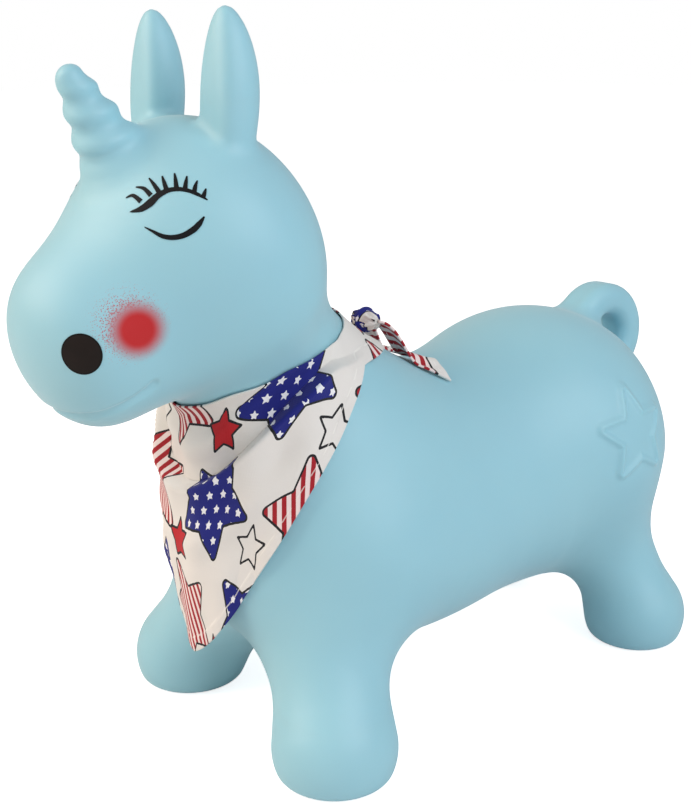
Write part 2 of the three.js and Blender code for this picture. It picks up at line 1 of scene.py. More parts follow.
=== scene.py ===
import bmesh
import bpy
import numpy as np
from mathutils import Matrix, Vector


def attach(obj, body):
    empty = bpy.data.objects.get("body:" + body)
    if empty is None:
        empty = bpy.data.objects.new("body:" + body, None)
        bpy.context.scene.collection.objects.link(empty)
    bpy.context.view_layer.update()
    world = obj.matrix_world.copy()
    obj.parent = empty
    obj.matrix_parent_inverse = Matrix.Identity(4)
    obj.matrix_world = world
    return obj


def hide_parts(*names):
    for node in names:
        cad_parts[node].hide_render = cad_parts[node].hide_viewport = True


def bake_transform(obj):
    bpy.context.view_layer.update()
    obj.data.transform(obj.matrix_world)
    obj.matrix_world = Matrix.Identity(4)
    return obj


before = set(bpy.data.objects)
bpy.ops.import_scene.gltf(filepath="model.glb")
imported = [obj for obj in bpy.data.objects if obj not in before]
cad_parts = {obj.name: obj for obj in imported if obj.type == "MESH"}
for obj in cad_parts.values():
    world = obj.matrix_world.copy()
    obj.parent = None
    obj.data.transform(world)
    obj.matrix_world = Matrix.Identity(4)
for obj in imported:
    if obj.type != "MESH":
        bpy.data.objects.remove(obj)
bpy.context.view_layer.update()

# Skin.
# One hollow piece of soft matte vinyl, spun in a hot mould, so that trunk, neck, head, legs, ears, horn and
# tail loop melt into each other with no seam. The mouth is a crease and the rump star a raised line in it.
MM = 0.001


def melt(a, b, k):
    h = np.clip(0.5 + 0.5 * (b - a) / k, 0, 1)
    return b * (1 - h) + a * h - k * h * (1 - h)


def egg(p, at, half, tilt=0.0):
    turn = np.radians(tilt)
    q = p - np.array(at, float)
    y = q[:, 1] * np.cos(turn) + q[:, 2] * np.sin(turn)
    z = q[:, 2] * np.cos(turn) - q[:, 1] * np.sin(turn)
    q = np.stack([q[:, 0], y, z], 1)
    half = np.array(half, float)
    near = np.linalg.norm(q / half, axis=1)
    slant = np.linalg.norm(q / half ** 2, axis=1)
    return near * (near - 1) / np.maximum(slant, 1e-9)


def taper(p, start, end, r0, r1):
    start = np.array(start, float)
    axis = np.array(end, float) - start
    long = np.linalg.norm(axis)
    axis = axis / long
    rel = p - start
    along = rel @ axis
    out = np.sqrt(np.maximum((rel * rel).sum(1) - along ** 2, 0))
    sin = (r0 - r1) / long
    cos = np.sqrt(1 - sin * sin)
    t = along * cos - out * sin
    side = out * cos + along * sin - r0
    low = np.hypot(along, out) - r0
    high = np.hypot(along - long, out) - r1
    return np.where(t < 0, low, np.where(t > long * cos, high, side))


def mirrored(p):
    return np.stack([np.abs(p[:, 0]), p[:, 1], p[:, 2]], 1)


# An egg is its middle, half sizes and tilt in degrees. A tapered limb is its two ends and their radii.
CHEST = ((0, -31, 130), (98, 136, 75))
RUMP = ((0, 159, 186), (101, 89, 80), 6)
BARREL = ((0, -42, 167), (0, 138, 138.5), 80.5, 84.5)
NECK = ((0, -82, 215), (0, -139, 324), 71, 45)
SKULL = ((0, -153, 342.5), (90, 71, 88), 22.5)
MUZZLE = ((0, -243.5, 293.5), (45.5, 30, 45), 19)
# A leg is the middles of its foot, knee and hip, and the radius at each.
FRONT_LEG = ((89.5, -116, 20), (60, -99, 75.5), (59, -71, 141), (42.5, 34.5, 41.5))
REAR_LEG = ((82, 204, 21.5), (61.5, 192, 77.5), (57, 171, 158), (40.5, 27, 44))
# How widely each form runs into the next.
TRUNK_MELT = 70
NECK_MELT = 60
NAPE_MELT = 24
FACE_MELT = 90
LEG_MELT = 38
KNEE_MELT = 25
EAR_MELT = 8
HORN_MELT = 12
TAIL_MELT = 14
BOSS_MELT = 2
SOLE_ROUND = 6


def leg(q, foot, knee, hip, r):
    return melt(taper(q, foot, knee, r[0], r[1]), taper(q, knee, hip, r[1], r[2]), KNEE_MELT)


def trunk(p):
    d = melt(egg(p, *CHEST), egg(p, *RUMP), TRUNK_MELT)
    return melt(d, taper(p, *BARREL), TRUNK_MELT)


def headless(p):
    d = melt(trunk(p), taper(p, *NECK), NECK_MELT)
    return melt(d, leg(mirrored(p), *FRONT_LEG), LEG_MELT)


def body_and_head(p):
    q = mirrored(p)
    face = melt(egg(p, *SKULL), egg(p, *MUZZLE), FACE_MELT)
    d = melt(trunk(p), melt(taper(p, *NECK), face, NAPE_MELT), NECK_MELT)
    d = melt(d, leg(q, *FRONT_LEG), LEG_MELT)
    return melt(d, leg(q, *REAR_LEG), LEG_MELT)


EAR_AT = (41.5, -156, 437)
EAR_HALF = (18.6, 17.8, 54)
EAR_LEAN = 4.5
EAR_POINT = 0.08
EAR_TILT = -4.4
EAR_GROOVE_R = 15
EAR_GROOVE_OUT = 13
EAR_GROOVE_SOFT = 14


def ears(p):
    q = mirrored(p)
    up = np.clip((q[:, 2] - EAR_AT[2]) / EAR_HALF[2], 0, 1) ** 2
    narrow = 1 + EAR_POINT * up
    x = EAR_AT[0] + (q[:, 0] - EAR_AT[0]) * narrow
    y = EAR_AT[1] + (q[:, 1] - EAR_AT[1] + EAR_LEAN * up) * narrow
    leaf = egg(np.stack([x, y, q[:, 2]], 1), EAR_AT, EAR_HALF, EAR_TILT) / narrow
    groove_y = EAR_AT[1] - EAR_HALF[1] - EAR_GROOVE_OUT
    groove = np.hypot(q[:, 0] - EAR_AT[0], q[:, 1] - groove_y) - EAR_GROOVE_R
    return -melt(-leaf, groove, EAR_GROOVE_SOFT)


HORN = ((0, -206, 398), (0, -235.5, 450), 22.5, 8.6)
HORN_TURNS = 3.5
HORN_RIDGE = 1.2


def horn(p):
    axis = np.array(HORN[1]) - np.array(HORN[0])
    long = np.linalg.norm(axis)
    axis = axis / long
    rel = p - np.array(HORN[0])
    along = rel @ axis / long
    round_it = np.arctan2(rel[:, 0], rel @ np.array([0, axis[2], -axis[1]]))
    wave = np.cos(2 * np.pi * HORN_TURNS * along - round_it)
    # the ridge fades in and out over a quarter of the length
    fade = np.clip((along - 0.1) * 4, 0, 1) * np.clip((1.1 - along) * 4, 0, 1)
    return taper(p, *HORN) - HORN_RIDGE * wave * fade


TAIL_AT = (236, 237.5)
TAIL_R = 30
TAIL_HALF_THICK = 12.5
TAIL_HALF_WIDE = 17
TAIL_ROUND = 11


def tail(p):
    ring = np.abs(np.hypot(p[:, 1] - TAIL_AT[0], p[:, 2] - TAIL_AT[1]) - TAIL_R)
    thick = np.maximum(ring - TAIL_HALF_THICK + TAIL_ROUND, 0)
    wide = np.maximum(np.abs(p[:, 0]) - TAIL_HALF_WIDE + TAIL_ROUND, 0)
    return np.hypot(thick, wide) - TAIL_ROUND


def line_distance(p, points):
    best = np.full(len(p), 1e9)
    for a, b in zip(points[:-1], points[1:]):
        a = np.array(a, float)
        edge = np.array(b, float) - a
        t = np.clip((p - a) @ edge / (edge @ edge), 0, 1)
        best = np.minimum(best, np.linalg.norm(p - a - t[:, None] * edge, axis=1))
    return best


MOUTH = (
    (0, -261, 257), (10.7, -257.2, 257.7), (24.3, -253, 258.8), (34.2, -247, 260.9), (40.5, -241.7, 263.8),
    (44.8, -236.1, 266.8), (48.5, -229.4, 271), (51.4, -222.9, 275.6), (53.1, -220.4, 278.5),
)
MOUTH_DEEP = 3
MOUTH_WIDE = 2.6
STAR_AT = np.array([157.6, 189.2])
STAR_R = 33.6
STAR_INNER = 0.46
STAR_SOFT = 3
STAR_TILT = np.radians(-4.6)
STAR_HIGH = 2
STAR_WIDE = 2.7
STAR_OUT = 50


def star(x, y, r, inner):
    """Distance to the outline of a five-point star, below zero inside it."""
    fifth = 2 * np.pi / 5
    turn = np.abs((np.arctan2(x, y) + fifth / 2) % fifth - fifth / 2)
    far = np.hypot(x, y)
    q = np.stack([far * np.sin(turn), far * np.cos(turn) - r], -1)
    edge = np.array([inner * r * np.sin(fifth / 2), inner * r * np.cos(fifth / 2) - r])
    t = np.clip(q @ edge / (edge @ edge), 0, 1)
    gap = np.linalg.norm(q - t[..., None] * edge, axis=-1)
    return np.where(edge[0] * q[..., 1] - edge[1] * q[..., 0] > 0, gap, -gap)


def star_line(p):
    y = p[:, 1] - STAR_AT[0]
    z = p[:, 2] - STAR_AT[1]
    x_in = y * np.cos(STAR_TILT) - z * np.sin(STAR_TILT)
    z_in = y * np.sin(STAR_TILT) + z * np.cos(STAR_TILT)
    off = np.abs(star(x_in, z_in, STAR_R - STAR_SOFT, STAR_INNER) - STAR_SOFT)
    return np.where(np.abs(p[:, 0]) > STAR_OUT, off, 1e3)


BOSS_AT = (0, 90)
BOSS_Z = 50
BOSS_R = 15
BOSS_TOP = 80
HOLE_R = 4.5
HOLE_TOP = 75


def skin(p):
    d = melt(melt(body_and_head(p), ears(p), EAR_MELT), horn(p), HORN_MELT)
    d = melt(d, tail(p), TAIL_MELT)
    out = np.hypot(p[:, 0] - BOSS_AT[0], p[:, 1] - BOSS_AT[1])
    boss = np.maximum(np.maximum(out - BOSS_R, BOSS_Z - p[:, 2]), p[:, 2] - BOSS_TOP)
    d = np.maximum(melt(d, boss, BOSS_MELT), np.minimum(HOLE_R - out, HOLE_TOP - p[:, 2]))
    d = d + MOUTH_DEEP * np.exp(-(line_distance(mirrored(p), MOUTH) / MOUTH_WIDE) ** 2)
    d = d - STAR_HIGH * np.exp(-(star_line(p) / STAR_WIDE) ** 2)
    return -melt(-d, p[:, 2], SOLE_ROUND)


def slope(shape, p):
    e = 0.35
    rise = np.stack([shape(p + e * step) - shape(p - e * step) for step in np.eye(3)], 1)
    return rise / np.maximum(np.linalg.norm(rise, axis=1), 1e-9)[:, None]


def onto(shape, p, off=0.0, rounds=5):
    for _ in range(rounds):
        p = p - slope(shape, p) * np.clip(shape(p) - off, -1.5, 1.5)[:, None]
    return p


def wrap(shape, low, high, step):
    """Surface of a shape: one point in each crossed cell, and a quad round each crossed edge."""
    axes = [np.arange(a, b + step, step) for a, b in zip(low, high)]
    grid = np.stack(np.meshgrid(*axes, indexing="ij"), -1)
    d = shape(grid.reshape(-1, 3)).reshape(grid.shape[:3])
    inside = d < 0
    cells = [n - 1 for n in d.shape]
    total = np.zeros((*cells, 3))
    count = np.zeros(cells)
    for axis in range(3):
        for u in (0, 1):
            for v in (0, 1):
                near = [slice(0, n) for n in cells]
                others = [i for i in range(3) if i != axis]
                near[others[0]] = slice(u, cells[others[0]] + u)
                near[others[1]] = slice(v, cells[others[1]] + v)
                far = list(near)
                far[axis] = slice(1, cells[axis] + 1)
                near, far = tuple(near), tuple(far)
                cross = inside[near] != inside[far]
                t = np.where(cross, d[near] / np.where(cross, d[near] - d[far], 1), 0)
                spot = grid[near] + t[..., None] * (grid[far] - grid[near])
                total += np.where(cross[..., None], spot, 0)
                count += cross
    used = count > 0
    number = np.full(cells, -1)
    number[used] = np.arange(used.sum())
    quads = []
    for axis in range(3):
        first = np.moveaxis(inside, axis, 0)
        ids = np.moveaxis(number, axis, 0)
        here = first[:-1, 1:-1, 1:-1]
        i, j, k = np.nonzero(here != first[1:, 1:-1, 1:-1])
        ring = np.stack([ids[i, j, k], ids[i, j + 1, k], ids[i, j + 1, k + 1], ids[i, j, k + 1]], 1)
        keep = here[i, j, k] == (axis != 1)
        quads.append(np.where(keep[:, None], ring, ring[:, ::-1]))
    return total[used] / count[used][:, None], np.concatenate(quads)


def split_edges(points, faces, chosen):
    """Halves the edges whose two ends are chosen, and the faces between them."""
    mesh = bmesh.new()
    for p in points:
        mesh.verts.new(p)
    mesh.verts.ensure_lookup_table()
    for f in faces:
        mesh.faces.new([mesh.verts[i] for i in f])
    mesh.verts.index_update()
    cut = [e for e in mesh.edges if chosen[e.verts[0].index] and chosen[e.verts[1].index]]
    bmesh.ops.subdivide_edges(mesh, edges=cut, cuts=1, use_grid_fill=True)
    mesh.verts.index_update()
    points = np.array([v.co[:] for v in mesh.verts])
    faces = [[v.index for v in f.verts] for f in mesh.faces]
    mesh.free()
    return points, faces


def new_mesh(name, points, faces, normals, material):
    mesh = bpy.data.meshes.new(name)
    mesh.from_pydata((points * MM).tolist(), [], faces)
    mesh.polygons.foreach_set("use_smooth", [True] * len(mesh.polygons))
    if normals is not None:
        mesh.normals_split_custom_set_from_vertices(normals.tolist())
    mesh.materials.append(material)
    made = bpy.data.objects.new(name, mesh)
    bpy.context.scene.collection.objects.link(made)
    return made


def attribute(made, name, values):
    made.data.attributes.new(name, "FLOAT", "POINT").data.foreach_set("value", values.astype(np.float32))


def colour(code):
    parts = [int(code[i:i + 2], 16) / 255 for i in (1, 3, 5)]
    return (*[c / 12.92 if c <= 0.04045 else ((c + 0.055) / 1.055) ** 2.4 for c in parts], 1)


def node(material, kind, links=(), **settings):
    made = material.node_tree.nodes.new(kind)
    for key, value in settings.items():
        setattr(made, key, value)
    for key, value in dict(links).items():
        if isinstance(value, bpy.types.NodeSocket):
            material.node_tree.links.new(value, made.inputs[key])
        else:
            made.inputs[key].default_value = value
    return made


def new_material(name):
    material = bpy.data.materials.new(name)
    material.use_nodes = True
    return material, material.node_tree.nodes["Principled BSDF"]


# Soft vinyl coloured through: matte, with a broad weak highlight, and a little light passes into the wall.
# The cheeks are red paint from a spray gun: solid in the middle, with fine drops round it.
CHEEK_AT = np.array([58.7, -232.3, 313.6])
SPRAY_AT = CHEEK_AT + np.array([-2.5, -4.5, 3.5])
vinyl, shader = new_material("matte_soft_vinyl")
place = node(vinyl, "ShaderNodeTexCoord")
# the colour is a little uneven over about 90 mm, as the paste spread in the mould
uneven = node(vinyl, "ShaderNodeTexNoise", {
    "Vector": place.outputs["Object"], "Scale": 1 / (90 * MM), "Detail": 2,
})
tint = node(vinyl, "ShaderNodeMix", {
    "Factor": uneven.outputs["Fac"], 6: colour("#96C9D8"), 7: colour("#A3D3DE"),
}, data_type="RGBA")
cheek = node(vinyl, "ShaderNodeAttribute", attribute_name="cheek_mm")
spray = node(vinyl, "ShaderNodeAttribute", attribute_name="spray_mm")
core = node(vinyl, "ShaderNodeMapRange", {
    "Value": cheek.outputs["Fac"], "From Min": 20, "From Max": 8, "To Min": 0, "To Max": 1,
}, interpolation_type="SMOOTHSTEP")
drop_size = node(vinyl, "ShaderNodeMapRange", {
    "Value": spray.outputs["Fac"], "From Min": 10, "From Max": 28, "To Min": 0.5, "To Max": 0,
})
# real drops are about 0.3 mm across; they are drawn on a 1 mm spacing so that they show
drops = node(vinyl, "ShaderNodeTexVoronoi", {"Vector": place.outputs["Object"], "Scale": 1 / (1.0 * MM)})
drop = node(vinyl, "ShaderNodeMath", {
    0: drops.outputs["Distance"], 1: drop_size.outputs["Result"],
}, operation="LESS_THAN")
faint = node(vinyl, "ShaderNodeMath", {0: drop.outputs[0], 1: 0.7}, operation="MULTIPLY")
paint = node(vinyl, "ShaderNodeMath", {0: core.outputs["Result"], 1: faint.outputs[0]}, operation="MAXIMUM")
painted = node(vinyl, "ShaderNodeMix", {
    "Factor": paint.outputs[0], 6: tint.outputs[2], 7: colour("#C4030E"),
}, data_type="RGBA")
# the mould's blasted grain is about 0.2 mm; it is drawn at 1.2 mm so that it shows
grain = node(vinyl, "ShaderNodeTexNoise", {
    "Vector": place.outputs["Object"], "Scale": 1 / (1.2 * MM), "Detail": 1,
})
rough = node(vinyl, "ShaderNodeMapRange", {"Value": grain.outputs["Fac"], "To Min": 0.42, "To Max": 0.55})
bump = node(vinyl, "ShaderNodeBump", {"Height": grain.outputs["Fac"], "Strength": 0.06, "Distance": 0.2 * MM})
for key, value in {
    "Base Color": painted.outputs[2], "Roughness": rough.outputs["Result"], "Normal": bump.outputs["Normal"],
}.items():
    vinyl.node_tree.links.new(value, shader.inputs[key])
shader.inputs["IOR"].default_value = 1.53
# talc from the mould leaves a pale bloom, which shows as a soft sheen where the skin turns away
shader.inputs["Sheen Weight"].default_value = 0.3
shader.inputs["Sheen Roughness"].default_value = 0.35
shader.inputs["Subsurface Weight"].default_value = 0.15
shader.inputs["Subsurface Radius"].default_value = (2.5, 4.5, 5)
shader.inputs["Subsurface Scale"].default_value = MM

# The mesh is drawn at half this step, and finer still at the mouth, stars, boss and horn.
SKIN_STEP = 5.0
SKIN_LOW = (-140, -292, -8)
SKIN_HIGH = (140, 290, 502)
HORN_FOOT = 405
points, faces = wrap(skin, SKIN_LOW, SKIN_HIGH, SKIN_STEP)
points, faces = split_edges(points, faces, np.ones(len(points), bool))
points = onto(skin, points)
for reach in (7, 5):
    near = (line_distance(mirrored(points), MOUTH) < reach) | (star_line(points) < reach)
    from_boss = np.hypot(points[:, 0] - BOSS_AT[0], points[:, 1] - BOSS_AT[1])
    near |= (from_boss < BOSS_R + reach) & (points[:, 2] <= BOSS_TOP)
    near |= (horn(points) < 2) & (points[:, 2] > HORN_FOOT)
    points, faces = split_edges(points, faces, near)
    points = onto(skin, points)
normals = slope(skin, points)

# The skin is parted as the solids are: at the neck, the horn and the tail loop, the legs from the ankle down,
# and the ears from their roots up.
NECK_CUT = np.array([0, -113, 275])
LEG_TOP = 46
EAR_FOOT = 438
middle = np.array([points[f].mean(0) for f in faces])
neck_way = np.array(NECK[1], float) - np.array(NECK[0], float)
above_neck = (middle - NECK_CUT) @ neck_way > 0
horn_way = np.array(HORN[1]) - np.array(HORN[0])
horn_along = (middle - np.array(HORN[0])) @ horn_way / (horn_way @ horn_way)
in_horn = (horn_along > 0.3) & (horn(middle) < 2.5) & above_neck
in_ear = (middle[:, 2] > EAR_FOOT) & ~in_horn & (np.abs(middle[:, 0]) > 15)
in_tail = (tail(middle) < 2) & (body_and_head(middle) > 4)
in_leg = middle[:, 2] < LEG_TOP
left = middle[:, 0] > 0
front = middle[:, 1] < 50
in_head = above_neck & ~in_horn & ~in_ear
regions = {
    "skin_torso": (~above_neck & ~in_tail & ~in_leg, ["torso_shell"]),
    "skin_head": (in_head, ["head_shell"]),
    "skin_horn": (in_horn, ["horn"]),
    "skin_tail": (in_tail, ["tail_handle"]),
}
for hand, on_side in (("left", left), ("right", ~left)):
    regions[f"skin_ear_{hand}"] = (in_ear & on_side, [f"ear_{hand}"])
    for end, at_end in (("front", front), ("rear", ~front)):
        nodes = [f"leg_cuff_{end}_{hand}", f"foot_{end}_{hand}"]
        regions[f"skin_leg_{end}_{hand}"] = (in_leg & on_side & at_end, nodes)
for name, (mask, cad_nodes) in regions.items():
    chosen = [faces[i] for i in np.nonzero(mask)[0]]
    kept = np.unique(np.concatenate([np.array(f) for f in chosen]))
    renumber = np.full(len(points), -1)
    renumber[kept] = np.arange(len(kept))
    made = new_mesh(name, points[kept], [renumber[f].tolist() for f in chosen], normals[kept], vinyl)
    attribute(made, "cheek_mm", np.linalg.norm(mirrored(points[kept]) - CHEEK_AT, axis=1))
    attribute(made, "spray_mm", np.linalg.norm(mirrored(points[kept]) - SPRAY_AT, axis=1))
    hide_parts(*cad_nodes)
    if name.startswith("skin_leg"):
        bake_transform(made)
    elif name.startswith("skin_ear"):
        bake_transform(made)
    else:
        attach(made, "body")

# Painted face.
# Closed eyes with lashes, and two round nostrils, in thin paint on the skin: near-black for the eyes, dark
# brown for the nostrils. Each film is 0.2 mm proud of the skin.
FILM = 0.2
# the far eye is painted a little further back, so that no lash tip passes the brow
EYE_BACK = {"left": np.zeros(3), "right": np.array([-1.5, 4, 0])}
UPPER_LID = (
    (38.3, -222.6, 377.5), (43.3, -218.3, 379.3), (46.3, -214, 382.6), (48.3, -209.8, 386.7),
    (51.5, -205, 389.5), (55.3, -200.8, 390.3), (59.6, -196.9, 389.6),
    (64.1, -193.2, 387.5), (68.5, -189.7, 384.6),
)
UPPER_WIDE = (0.4, 3.8, 5, 4, 3, 2.6, 2.4, 2.1, 0.7)
LOWER_LID = (
    (49, -219.7, 369.8), (53.6, -217, 367.6), (58.1, -214, 365.3), (62.2, -210, 364.5), (66.1, -205.1, 365.6),
    (68.9, -200.2, 368.6), (70.1, -196.8, 371.8), (70.7, -193.5, 375.8),
)
LOWER_WIDE = (0.4, 1.6, 2.5, 2.9, 3.2, 3.6, 3.2, 0.8)
LASHES = (
    ((31.8, -221.2, 384.7), (35.2, -218.5, 386.2), (41.3, -216.9, 383.2)),
    ((34.1, -215.7, 390.7), (39.1, -213.4, 390.1), (44.8, -212.3, 386.6)),
    ((38.3, -209.4, 395.7), (43.1, -209.1, 392.4), (47.8, -208.8, 388.6)),
    ((44.3, -204.3, 397), (47.2, -204.9, 393.9), (50.7, -205.5, 389.7)),
    ((49, -198.9, 398.7), (51.7, -200, 395.1), (54.6, -201.3, 390.6)),
    ((55, -194.4, 397.2), (56.5, -196.1, 394.1), (58.1, -197.9, 390.4)),
    ((60.2, -190.8, 394.9), (61.1, -192.8, 392), (62.2, -194.5, 388.8)),
    ((65.2, -188.4, 390.6), (65.9, -189.9, 388.3), (66.5, -191.4, 385.9)),
)
LASH_WIDE = (0.7, 2.2, 3)


def stroke(spots, wide, per_part=10, across=4):
    """Points and faces of one brush stroke that lies on the skin."""
    spots = np.array(spots, float)
    wide = np.array(wide, float)
    t = np.linspace(0, len(spots) - 1, per_part * (len(spots) - 1) + 1)
    i = np.clip(t.astype(int), 0, len(spots) - 2)
    f = (t - i)[:, None]
    before = spots[np.maximum(i - 1, 0)]
    after = spots[np.minimum(i + 2, len(spots) - 1)]
    a, b = spots[i], spots[i + 1]
    bend = 2 * before - 5 * a + 4 * b - after + f * (3 * (a - b) + after - before)
    path = a + 0.5 * f * (b - before + f * bend)
    width = np.interp(t, np.arange(len(wide)), wide)
    ahead = np.gradient(path, axis=0)
    side = np.cross(slope(skin, path), ahead)
    side /= np.linalg.norm(side, axis=1)[:, None]
    part = np.linspace(-0.5, 0.5, across + 1)
    grid = path[:, None] + part[None, :, None] * (width[:, None, None] * side[:, None])
    index = np.arange(len(path) * (across + 1)).reshape(len(path), -1)
    quads = np.stack([index[:-1, :-1], index[1:, :-1], index[1:, 1:], index[:-1, 1:]], -1).reshape(-1, 4)
    return grid.reshape(-1, 3), quads


# Thin vinyl paint, nearly black: it hides the skin under it, and has a dull, even shine.
ink, shader = new_material("black_face_paint")
place = node(ink, "ShaderNodeTexCoord")
# the brush leaves the film a little thin in places, every 3 mm or so
thin = node(ink, "ShaderNodeTexNoise", {
    "Vector": place.outputs["Object"], "Scale": 1 / (3 * MM), "Detail": 1,
})
ink_tone = node(ink, "ShaderNodeMix", {
    "Factor": thin.outputs["Fac"], 6: colour("#07070B"), 7: colour("#101116"),
}, data_type="RGBA")
ink.node_tree.links.new(ink_tone.outputs[2], shader.inputs["Base Color"])
shader.inputs["Roughness"].default_value = 0.6
shader.inputs["IOR"].default_value = 1.45
shader.inputs["Specular IOR Level"].default_value = 0.25

NOSTRIL_AT = np.array([44.6, -261, 301.3])
NOSTRIL_R = 12.2
DISC_PARTS = 64
DISC_RINGS = 10
# The same paint in dark brown, sprayed through a round stencil: clouded, with a darker rim.
nostril_paint, shader = new_material("brown_nostril_paint")
ring = node(nostril_paint, "ShaderNodeAttribute", attribute_name="ring")
rim = node(nostril_paint, "ShaderNodeMapRange", {
    "Value": ring.outputs["Fac"], "From Min": 0.88, "From Max": 0.96,
}, interpolation_type="SMOOTHSTEP")
place = node(nostril_paint, "ShaderNodeTexCoord")
cloud = node(nostril_paint, "ShaderNodeTexNoise", {"Vector": place.outputs["Object"], "Scale": 1 / (14 * MM)})
brown = node(nostril_paint, "ShaderNodeMix", {
    "Factor": cloud.outputs["Fac"], 6: colour("#120C0A"), 7: colour("#251A16"),
}, data_type="RGBA")
rimmed = node(nostril_paint, "ShaderNodeMix", {
    "Factor": rim.outputs["Result"], 6: brown.outputs[2], 7: colour("#0C0908"),
}, data_type="RGBA")
nostril_paint.node_tree.links.new(rimmed.outputs[2], shader.inputs["Base Color"])
shader.inputs["Roughness"].default_value = 0.6
shader.inputs["IOR"].default_value = 1.45
shader.inputs["Specular IOR Level"].default_value = 0.25

strokes = [stroke(UPPER_LID, UPPER_WIDE), stroke(LOWER_LID, LOWER_WIDE)]
strokes += [stroke(lash, LASH_WIDE) for lash in LASHES]
disc_out = slope(skin, NOSTRIL_AT[None])[0]
disc_up = np.cross(disc_out, [1, 0, 0])
disc_up /= np.linalg.norm(disc_up)
disc_side = np.cross(disc_up, disc_out)
rings = np.linspace(0, 1, DISC_RINGS + 1)[1:]
turns = np.linspace(0, 2 * np.pi, DISC_PARTS + 1)[:-1]
disc = [NOSTRIL_AT] + [
    NOSTRIL_AT + NOSTRIL_R * r * (np.cos(t) * disc_side + np.sin(t) * disc_up) for r in rings for t in turns
]
disc_faces = [[0, 1 + i, 1 + (i + 1) % DISC_PARTS] for i in range(DISC_PARTS)]
for k in range(DISC_RINGS - 1):
    for i in range(DISC_PARTS):
        a, b = (1 + DISC_PARTS * k + j % DISC_PARTS for j in (i, i + 1))
        disc_faces.append([a, a + DISC_PARTS, b + DISC_PARTS, b])
for hand, side in (("left", 1), ("right", -1)):
    flip = np.array([side, 1, 1])
    film, film_faces = [], []
    start = 0
    for spots, quads in strokes:
        film.append(spots)
        film_faces += (quads + start).tolist()
        start += len(spots)
    film = onto(skin, np.concatenate(film) * flip + EYE_BACK[hand], FILM)
    out = slope(skin, film)
    # one face tells which way round all of them go
    sample = film[film_faces[50]]
    facing = np.cross(sample[1] - sample[0], sample[2] - sample[0]) @ out[film_faces[50][0]] > 0
    made = new_mesh(f"lashes_{hand}", film, film_faces if facing else [f[::-1] for f in film_faces], out, ink)
    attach(made, "body")
    spots = onto(skin, np.array(disc) * flip, FILM)
    out = slope(skin, spots)
    sample = spots[disc_faces[70]]
    facing = np.cross(sample[1] - sample[0], sample[2] - sample[0]) @ out[disc_faces[70][0]] > 0
    made = new_mesh(
        f"nostril_{hand}", spots, disc_faces if facing else [f[::-1] for f in disc_faces], out, nostril_paint)
    attribute(made, "ring", np.concatenate([[0], np.repeat(rings, DISC_PARTS)]))
    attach(made, "body")

# Air plug.
# A white stopper of harder vinyl, turned head and ribbed stem in one, pushed into the boss under the belly.
# It pulls straight out, so it rides its own body.
PLUG_HEAD_R = 10
PLUG_STEM_R = 4.2
PLUG_PARTS = 48
PLUG_TOP = BOSS_Z - 0.3
profile = [(0, PLUG_TOP - 2.2), (5.5, PLUG_TOP - 2.3), (6.5, PLUG_TOP - 3), (PLUG_HEAD_R - 1, PLUG_TOP - 3)]
profile += [(PLUG_HEAD_R - 0.3, PLUG_TOP - 2.7), (PLUG_HEAD_R, PLUG_TOP - 2), (PLUG_HEAD_R, PLUG_TOP - 0.5)]
profile += [(PLUG_HEAD_R - 0.5, PLUG_TOP), (PLUG_STEM_R - 0.3, PLUG_TOP)]
for rib in range(4):
    z = PLUG_TOP + 2 + 4 * rib
    profile += [(PLUG_STEM_R - 0.4, z), (PLUG_STEM_R, z + 0.8)]
    profile += [(PLUG_STEM_R, z + 1.6), (PLUG_STEM_R - 0.4, z + 2.4)]
profile += [(PLUG_STEM_R - 1.2, PLUG_TOP + 17), (0, PLUG_TOP + 17)]
turns = np.linspace(0, 2 * np.pi, PLUG_PARTS + 1)[:-1]
spots = np.array([[r * np.cos(t), BOSS_AT[1] + r * np.sin(t), z] for r, z in profile for t in turns])
ring_faces = []
for k in range(len(profile) - 1):
    for i in range(PLUG_PARTS):
        a, b = (PLUG_PARTS * k + j % PLUG_PARTS for j in (i, i + 1))
        ring_faces.append([a, b, b + PLUG_PARTS, a + PLUG_PARTS])
# Harder vinyl with white in it: smoother than the skin, so it has a small clear highlight.
plug_vinyl, shader = new_material("white_plug_vinyl")
place = node(plug_vinyl, "ShaderNodeTexCoord")
scuff = node(plug_vinyl, "ShaderNodeTexNoise", {"Vector": place.outputs["Object"], "Scale": 1 / (4 * MM)})
plug_tone = node(plug_vinyl, "ShaderNodeMix", {
    "Factor": scuff.outputs["Fac"], 6: colour("#E6E6E0"), 7: colour("#F4F4F0"),
}, data_type="RGBA")
plug_vinyl.node_tree.links.new(plug_tone.outputs[2], shader.inputs["Base Color"])
shader.inputs["Roughness"].default_value = 0.35
shader.inputs["IOR"].default_value = 1.53
made = new_mesh("plug", spots, ring_faces, None, plug_vinyl)
smooth = bmesh.new()
smooth.from_mesh(made.data)
bmesh.ops.remove_doubles(smooth, verts=smooth.verts, dist=1e-6)
bmesh.ops.recalc_face_normals(smooth, faces=smooth.faces)
smooth.to_mesh(made.data)
smooth.free()
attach(made, "valve_plug")
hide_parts("valve_plug")

# Bandana.
# One hemmed triangle of printed plain-weave cotton. It lies on the chest with a tuck under the chin, goes
# round the neck, and is tied at the nape.
CLOTH = 1.2
CLEAR = 1.0
BIB_AXIS_Y = -92
TURN = np.pi - 0.015
# Heights of the upper and lower edge, at the chest and at the nape.
TOP_CHEST = 250
TOP_NAPE = 296
TOP_CURVE = 0.8
LOW_CHEST = 70
LOW_NAPE = 268
LOW_SPREAD = 0.82
LOW_POINT = 0.35
# Where the body falls away the cloth comes in by at most this share of its drop. Its folds fade out between
# these angles from the chest.
SLACK = 0.12
FADE = (1.2, 2.2)
